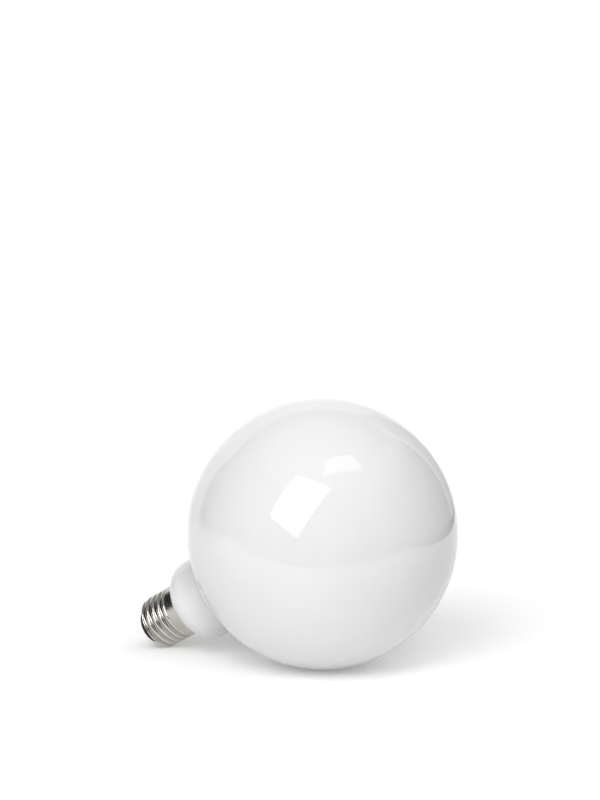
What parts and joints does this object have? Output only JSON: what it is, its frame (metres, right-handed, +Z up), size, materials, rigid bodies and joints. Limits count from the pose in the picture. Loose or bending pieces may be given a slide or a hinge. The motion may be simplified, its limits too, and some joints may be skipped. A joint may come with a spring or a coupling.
{
  "type": "led light bulb",
  "caption": "Large opal glass globe lamp with a short neck and an Edison screw cap, lying on its side on the globe and the cap.",
  "frame": {"origin": "on the floor that the lamp lies on, under the middle of its box", "axes": "+Z up, +X from the cap towards the globe; the lamp's own axis lies in the XZ plane, with the cap low"},
  "size_m": [0.163, 0.125, 0.125],
  "materials": {
    "opal_glass": "glossy opal white glass",
    "nickel_plate": "bright nickel plating on rolled brass sheet",
    "black_glass": "glossy black insulating glass",
    "contact_metal": "plain plated brass",
    "solder": "dull soft solder"
  },
  "bodies": {
    "root": {"glass_bulb": "opal_glass", "screw_shell": "nickel_plate", "cap_insulator": "black_glass", "centre_contact": "contact_metal", "contact_solder": "solder"}
  },
  "joints": []
}
